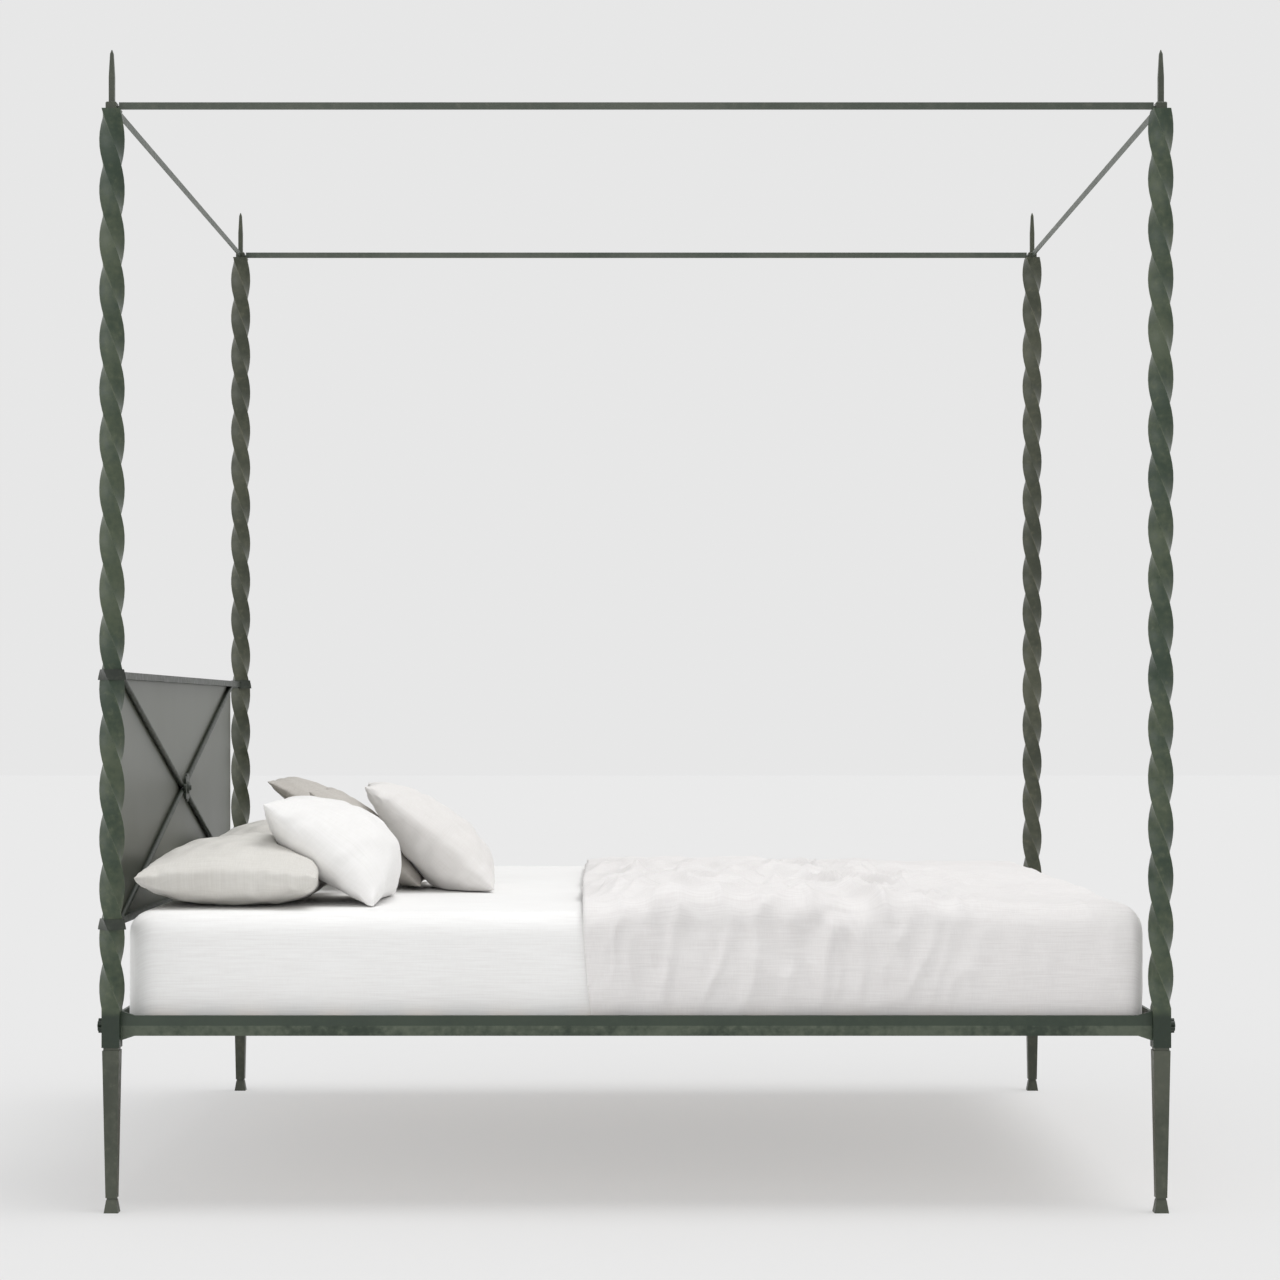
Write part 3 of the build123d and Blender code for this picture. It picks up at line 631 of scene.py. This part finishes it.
def cover_edge(y, z):
    """Where the coverlet's edge runs: bowed, a little nearer the head on the far side, and askew below."""
    across = y / (BED_WIDTH / 2)
    sunk = max(0.0, BED_TOP - BED_ROUND - z) / (BED_TOP - BED_BOTTOM)
    wander = EDGE_WANDER * noise.noise(Vector((0.0, y * 7.0, 2.0 + z * 5.0)))
    bow = EDGE_BOW * (1 - across * across)
    skew = EDGE_SKEW * (1 + across) / 2
    return COVER_EDGE - bow - skew + EDGE_FALL * sunk + wander


def cut_at_edge(piece):
    """Keep the part of a wrapped mesh that the coverlet covers, with its edge on one line."""
    made = bmesh.new()
    made.from_mesh(piece.data)
    gone = [v for v in made.verts if v.co.x < cover_edge(v.co.y, v.co.z) - EDGE_SPARE]
    bmesh.ops.delete(made, geom=gone, context="VERTS")
    for vert in made.verts:
        if vert.is_boundary and vert.co.x < COVER_EDGE + EDGE_REACH:
            vert.co.x = cover_edge(vert.co.y, vert.co.z)
    made.to_mesh(piece.data)
    made.free()


def subdivide(piece):
    """Halve every edge of a piece."""
    made = bmesh.new()
    made.from_mesh(piece.data)
    bmesh.ops.subdivide_edges(made, edges=made.edges, cuts=1, use_grid_fill=True)
    made.to_mesh(piece.data)
    made.free()


def flat_place(point, normal):
    """Where a point of the coverlet lies when the cloth is laid flat."""
    drop = BED_TOP + COVER_GROW - point.z
    if abs(normal.z) > LEVEL:
        return Vector((point.x, point.y))
    if abs(normal.x) > abs(normal.y):
        return Vector((point.x + drop, point.y))
    return Vector((point.x, math.copysign(abs(point.y) + drop, point.y)))


def crest(u, v, seed):
    """Rumpled cloth from 0 to 1: sharp crests between soft hollows."""
    return max(0.0, 1 - 1.9 * abs(noise.noise(Vector((u, v, seed))))) ** 2


def rumple(flat):
    """Height from 0 to 1 of the rumples at a flat place; their crests run across the bed."""
    drift = 0.06 * noise.noise(Vector((flat.x * 4.0, flat.y * 3.0, 6.0)))
    height = 0.0
    for lean, way, along, across, seed, part, sharpness in RUMPLES:
        place = (flat.x + lean * flat.y + way * drift) / along
        height += part * crest(place, flat.y / across, seed) ** sharpness
    return height * (1 - FLATTENED * eased(share(flat.y, FLATTER_FROM, FLATTER_TO)))


def pleats(flat):
    """Height from 0 to 1 of the soft pleats down the coverlet's sides, lightly slanted."""
    drift = 0.02 * noise.noise(Vector((flat.x * 6.0, flat.y * 9.0, 3.0)))
    along_side = abs(flat.y) > BED_WIDTH / 2
    run = flat.x if along_side else flat.y
    fall = abs(flat.y) if along_side else flat.x
    soft = 0.5 + 0.9 * noise.noise(Vector(((run + 0.10 * fall + drift) / 0.045, fall / 0.16, 12.0)))
    broad = crest((run + 0.15 * fall + drift) / 0.075, fall / 0.22, 18.0)
    fine = crest((run - 0.25 * fall - drift) / 0.045, fall / 0.13, 15.0)
    return 0.32 * max(0.0, soft) + 0.42 * broad + 0.26 * fine


def crumple(point, normal):
    """Rumples over the coverlet, slight by its edge and at the foot, and none at the tucked hem."""
    free = eased(share(point.z, PLEATS_FROM, PLEATS_TO))
    strong = 1 - SMOOTHED * eased(share(point.x, SMOOTH_FROM, SMOOTH_TO))
    above = share(normal.z, 0.2, 0.9)
    flat = flat_place(point, normal)
    height = CREST_ABOVE * above * rumple(flat) + CREST_ASIDE * (1 - above) * pleats(flat)
    edge_x = cover_edge(point.y, point.z)
    height = height * (EDGE_SHARE + (1 - EDGE_SHARE) * share(point.x, edge_x, edge_x + EDGE_GROWTH))
    return free * strong * height - SIDE_INWARD * (1 - above)


coverlet = wrapped_mesh(
    "coverlet_cloth", COVER_GROW, BED_BOTTOM + COVER_HEM,
    columns=150, rows=136, drops=16, arcs=8, corner=COVER_CORNER,
)
cut_at_edge(coverlet)
move_points(coverlet, lie_over_folds)
subdivide(coverlet)
move_points(coverlet, crumple)
finish_soft(coverlet, "coverlet_body", cover_cloth, "coverlet")
thicken(coverlet, "wadding", COVER_WADDING)


# Pillows: two sewn faces, blown full, resting on the sheet and on each other
# Each has its centre, lean and turn in degrees, size, height of both faces over the seam and how full
# they are. The sags move the filling of a face down the slope, and skew shifts the far edge along x.
PILLOWS = {
    "flat_near": dict(
        centre=(-0.818, -0.560, 0.6529), lean=0.0, yaw=0.0, length=0.366, width=0.600,
        rise=0.070, drop=0.064, full_above=0.58, full_below=0.30, sag_above=0.0, sag_below=0.0, skew=0.0,
    ),
    "flat_far": dict(
        centre=(-0.826, 0.300, 0.6529), lean=0.0, yaw=0.0, length=0.366, width=0.600,
        rise=0.075, drop=0.064, full_above=0.58, full_below=0.30, sag_above=0.0, sag_below=0.0, skew=0.0,
    ),
    "white": dict(
        centre=(-0.625, -0.552, 0.6910), lean=42.5, yaw=-6.0, length=0.312, width=0.392,
        rise=0.112, drop=0.056, full_above=0.55, full_below=0.58, sag_above=0.38, sag_below=-0.48, skew=-0.03,
    ),
    "cream": dict(
        centre=(-0.464, -0.110, 0.7076), lean=38.6, yaw=4.0, length=0.365, width=0.380,
        rise=0.072, drop=0.070, full_above=0.58, full_below=0.58, sag_above=0.22, sag_below=0.80, skew=0.0,
    ),
    "grey_mid": dict(
        centre=(-0.600, -0.025, 0.7024), lean=40.4, yaw=0.0, length=0.327, width=0.380,
        rise=0.040, drop=0.066, full_above=0.6, full_below=0.6, sag_above=0.0, sag_below=0.0, skew=0.0,
    ),
    "grey_far": dict(
        centre=(-0.750, 0.600, 0.7380), lean=28.0, yaw=0.0, length=0.330, width=0.380,
        rise=0.042, drop=0.044, full_above=0.6, full_below=0.6, sag_above=0.0, sag_below=0.0, skew=0.0,
    ),
}
PILLOW_CLOTH = {
    "flat_near": (beige, "pillow_beige"),
    "flat_far": (beige, "pillow_beige"),
    "white": (white, "cushion_white"),
    "cream": (cream, "cushion_cream"),
    "grey_mid": (grey, "cushion_grey"),
    "grey_far": (grey, "cushion_grey"),
}
# Which pillow is pressed in by which, in the order of pressing
PRESSED = (
    ("flat_near", "white"), ("flat_far", "grey_mid"), ("flat_far", "grey_far"), ("grey_mid", "cream"),
    ("flat_far", "cream"), ("flat_far", "white"), ("grey_mid", "white"),
)
# Spacing of the points, how much closer they lie near the seam, and how far the seam is drawn in
PILLOW_STEP = 0.0085
EDGE_BIAS = 0.6
SEAM_DRAW = 0.05
# Swelling of the sewn cloth: steps, stiffness, its slack, pressure inside and the furthest move
SWELL_STEPS = 12
SWELL_STIFFNESS = 12.0
SWELL_BENDING = 1.2
SWELL_SLACK = 0.03
SWELL_PRESSURE = 2.5
SWELL_LIMIT = 0.010
# Puckers from the seam, and slack dents further in, each starting over a distance from the seam
PUCKER_DEPTH = 0.012
PUCKER_REACH = 0.030
PUCKER_START = 0.005
PUCKERS_PER_M = 46.0
SLACK_DEPTH = 0.006
SLACK_START = 0.03
# Reach and gap of a pillow pressed in by another, and gap to the sheet
DENT_REACH = 0.12
DENT_GAP = 0.0015
SHEET_GAP = 0.0025


def spread(step, count):
    """Places from -1 to 1, closer together near both ends."""
    even = 2 * step / count - 1
    return even * (1 - EDGE_BIAS) + math.sin(even * math.pi / 2) * EDGE_BIAS


def slope_axes(lean, yaw):
    """Down the slope of a leaning pillow, and out of its upper face."""
    lean = math.radians(lean)
    yaw = math.radians(yaw)
    along = Vector((math.cos(lean) * math.cos(yaw), math.cos(lean) * math.sin(yaw), -math.sin(lean)))
    up = Vector((math.sin(lean) * math.cos(yaw), math.sin(lean) * math.sin(yaw), math.cos(lean)))
    return along, up


def pillow_mesh(
    name, seed, centre, lean, yaw, length, width,
    rise, drop, full_above, full_below, sag_above, sag_below, skew,
):
    """Two crowned faces that meet at one seam, drawn in between the corners, and each point's place."""
    along, up = slope_axes(lean, yaw)
    across = up.cross(along)
    across_count = round(width / PILLOW_STEP)
    along_count = round(length / PILLOW_STEP)
    made = bmesh.new()
    uv = made.loops.layers.uv.new("cloth")
    flat_at = {}
    places = []
    sides = []
    for sign, height, fullness, sag in ((1, rise, full_above, sag_above), (-1, drop, full_below, sag_below)):
        grid = {}
        for i in range(along_count + 1):
            for j in range(across_count + 1):
                on_seam = i in (0, along_count) or j in (0, across_count)
                if on_seam and sign < 0:
                    grid[i, j] = sides[0][i, j]
                    continue
                u = spread(i, along_count)
                v = spread(j, across_count)
                draw_u = 1 - SEAM_DRAW * (1 - v * v) * abs(u) ** 3
                draw_v = 1 - SEAM_DRAW * (1 - u * u) * abs(v) ** 3
                crown = max(0.0, (1 - u * u) * (1 - v * v)) ** fullness
                lump = 1 + 0.05 * noise.noise(Vector((u * 1.7 + seed, v * 2.1, sign * 3.0)))
                local = Vector((length / 2 * u * draw_u, width / 2 * v * draw_v, 0.0))
                place = Vector(centre) + along * local.x + across * local.y
                place = place + up * (sign * height * crown * lump * (1 + sag * u))
                place.x += skew * (1 + v) / 2
                grid[i, j] = made.verts.new(place)
                flat_at[grid[i, j]] = (local.x + seed, local.y)
                places.append((u, v, sign))
        sides.append(grid)
        for i in range(along_count):
            for j in range(across_count):
                corners = [grid[i, j], grid[i + 1, j], grid[i + 1, j + 1], grid[i, j + 1]]
                face = made.faces.new(corners if sign > 0 else corners[::-1])
                for loop in face.loops:
                    loop[uv].uv = flat_at[loop.vert]
    return new_piece(name, made), places


def corner_points(piece):
    """The corners of a pillow's seam, where only two edges meet."""
    links = [0] * len(piece.data.vertices)
    for edge in piece.data.edges:
        for index in edge.vertices:
            links[index] += 1
    return [index for index, count in enumerate(links) if count == 2]


def swell(piece):
    """Let a pillow's cloth swell with its corners held, then keep its shape; no point moves past the limit."""
    before = [v.co.copy() for v in piece.data.vertices]
    piece.shape_key_add(name="start")
    loose = piece.shape_key_add(name="loose")
    for point, start in zip(loose.data, before):
        point.co = Vector([c * (1 + SWELL_SLACK) for c in start])
    cloth_step = piece.modifiers.new("settle", "CLOTH")
    settings = cloth_step.settings
    settings.rest_shape_key = loose
    settings.quality = 6
    settings.mass = 0.3
    settings.tension_stiffness = SWELL_STIFFNESS
    settings.compression_stiffness = SWELL_STIFFNESS
    settings.shear_stiffness = SWELL_STIFFNESS * 0.5
    settings.bending_stiffness = SWELL_BENDING
    settings.air_damping = 4.0
    settings.effector_weights.gravity = 0.0
    settings.use_pressure = True
    settings.uniform_pressure_force = SWELL_PRESSURE
    held = piece.vertex_groups.new(name="held")
    held.add(corner_points(piece), 1.0, "REPLACE")
    settings.vertex_group_mass = "held"
    cloth_step.collision_settings.use_self_collision = False
    cloth_step.point_cache.frame_start = 1
    cloth_step.point_cache.frame_end = SWELL_STEPS
    for step in range(1, SWELL_STEPS + 1):
        scene.frame_set(step)
    graph = bpy.context.evaluated_depsgraph_get()
    settled = [v.co.copy() for v in piece.evaluated_get(graph).data.vertices]
    piece.modifiers.remove(cloth_step)
    piece.shape_key_clear()
    scene.frame_set(1)
    for vert, start, end in zip(piece.data.vertices, before, settled):
        move = end - start
        if move.length > SWELL_LIMIT:
            move = move.normalized() * SWELL_LIMIT
        vert.co = start + move
    piece.data.update()


def gather(piece, places, length, width, seed):
    """Small puckers that start at the seam and die out over the faces, and slack dents further in."""
    normals = [v.normal.copy() for v in piece.data.vertices]
    for vert, normal, (u, v, sign) in zip(piece.data.vertices, normals, places):
        from_end = (1 - abs(u)) * length / 2
        from_side = (1 - abs(v)) * width / 2
        inside = min(from_end, from_side)
        along_seam = v * width / 2 if from_end < from_side else u * length / 2
        edge = math.copysign(1.0, u) if from_end < from_side else math.copysign(3.0, v)
        off_corner = abs(from_end - from_side) / (from_end + from_side + 0.01)
        fade = math.exp(-inside / PUCKER_REACH) * (1 - math.exp(-inside / PUCKER_START))
        fade = fade * min(1.0, 3 * off_corner)
        pucker = noise.noise(Vector((along_seam * PUCKERS_PER_M, edge * 5.0 + seed, sign * 2.0)))
        slack = noise.noise(Vector((u * length * 14 + seed, v * width * 9, sign * 4.0)))
        further_in = 1 - math.exp(-inside / SLACK_START)
        vert.co = vert.co + normal * (PUCKER_DEPTH * fade * pucker + SLACK_DEPTH * further_in * slack)
    piece.data.update()


def dent(piece, other, away):
    """Push the points of a soft piece that lie inside another out of it, in the direction away."""
    graph = bpy.context.evaluated_depsgraph_get()
    tree = BVHTree.FromObject(other, graph)
    for vert in piece.data.vertices:
        out, normal, _, _ = tree.ray_cast(vert.co - away * DENT_GAP, away, DENT_REACH)
        if out is not None and normal.dot(away) > 0:
            vert.co = out + away * DENT_GAP
    piece.data.update()


pillows = {}
for seed, (key, form) in enumerate(PILLOWS.items()):
    piece, places = pillow_mesh(f"pillow_{key}_soft", seed, **form)
    swell(piece)
    gather(piece, places, form["length"], form["width"], seed)
    pillows[key] = piece
for carried, presser in PRESSED:
    _, up = slope_axes(PILLOWS[presser]["lean"], PILLOWS[presser]["yaw"])
    dent(pillows[carried], pillows[presser], -up)
for key, piece in pillows.items():
    for vert in piece.data.vertices:
        vert.co.z = max(vert.co.z, SHEET_TOP + SHEET_GAP)
    finish, slot = PILLOW_CLOTH[key]
    finish_soft(piece, f"pillow_{key}_body", finish, f"pillow_{key}")
    finer = piece.modifiers.new("finer", "SUBSURF")
    finer.levels = 1
    finer.render_levels = 1

# Camera: square on to the near side, in metres, with the lens in millimetres
camera_data = bpy.data.cameras.new("camera")
camera = bpy.data.objects.new("camera", camera_data)
scene.collection.objects.link(camera)
camera.location = (0.0, -6.65, 0.978)
camera.rotation_euler = (math.pi / 2, 0.0, 0.0)
camera_data.sensor_width = 36.0
camera_data.lens = 81.9
camera_data.shift_x = 0.00285
camera_data.shift_y = 0.0581
scene.camera = camera

# Stage: pale floor and even studio light
BACKGROUND = (0.8, 0.8, 0.8, 1.0)
FLOOR_COLOUR = (0.785, 0.785, 0.785, 1.0)
FLOOR_GLOW = 0.55
AMBIENT = 0.65
floor_data = bpy.data.meshes.new("floor")
floor_data.from_pydata([(-30, -12, 0), (30, -12, 0), (30, 40, 0), (-30, 40, 0)], [], [(0, 1, 2, 3)])
floor = bpy.data.objects.new("floor", floor_data)
scene.collection.objects.link(floor)
floor_finish, floor_tree, floor_main = material("floor_pale")
floor_main.inputs["Base Color"].default_value = FLOOR_COLOUR
floor_main.inputs["Roughness"].default_value = 0.9
floor_main.inputs["Specular IOR Level"].default_value = 0.1
seen = shade(floor_tree, "ShaderNodeLightPath")
pale = shade(floor_tree, "ShaderNodeEmission", {"Color": BACKGROUND, "Strength": 1.0})
share_pale = calculate(floor_tree, "MULTIPLY", seen.outputs["Is Camera Ray"], FLOOR_GLOW)
floor_mix = shade(
    floor_tree, "ShaderNodeMixShader", {0: share_pale, 1: floor_main.outputs[0], 2: pale.outputs[0]}
)
floor_tree.links.new(floor_mix.outputs[0], floor_tree.nodes["Material Output"].inputs["Surface"])
floor_data.materials.append(floor_finish)

world = bpy.data.worlds.new("studio")
world.use_nodes = True
sky = world.node_tree
ambient = sky.nodes["Background"]
ambient.inputs["Color"].default_value = BACKGROUND
ambient.inputs["Strength"].default_value = AMBIENT
backdrop = shade(sky, "ShaderNodeBackground", {"Color": BACKGROUND, "Strength": 1.0})
ray = shade(sky, "ShaderNodeLightPath")
direct = calculate(sky, "MAXIMUM", ray.outputs["Is Camera Ray"], ray.outputs["Is Glossy Ray"])
direct = calculate(sky, "MAXIMUM", direct, ray.outputs["Is Transmission Ray"])
sky_mix = shade(sky, "ShaderNodeMixShader", {0: direct, 1: ambient.outputs[0], 2: backdrop.outputs[0]})
sky.links.new(sky_mix.outputs[0], sky.nodes["World Output"].inputs["Surface"])
scene.world = world


def studio_lamp(name, toward, level, width):
    """A broad soft lamp far off, shining from a direction; level 1 lights a facing surface fully."""
    data = bpy.data.lights.new(name, "SUN")
    data.energy = level * math.pi
    data.angle = math.radians(width)
    lamp = bpy.data.objects.new(name, data)
    scene.collection.objects.link(lamp)
    lamp.rotation_euler = Vector(toward).to_track_quat("Z", "Y").to_euler()


studio_lamp("key", toward=(0.30, -0.05, 0.95), level=0.51, width=40.0)
studio_lamp("left", toward=(-0.93, -0.30, 0.15), level=0.20, width=40.0)
studio_lamp("front_fill", toward=(-0.40, -0.88, 0.25), level=0.16, width=60.0)
scene.view_settings.view_transform = "Standard"
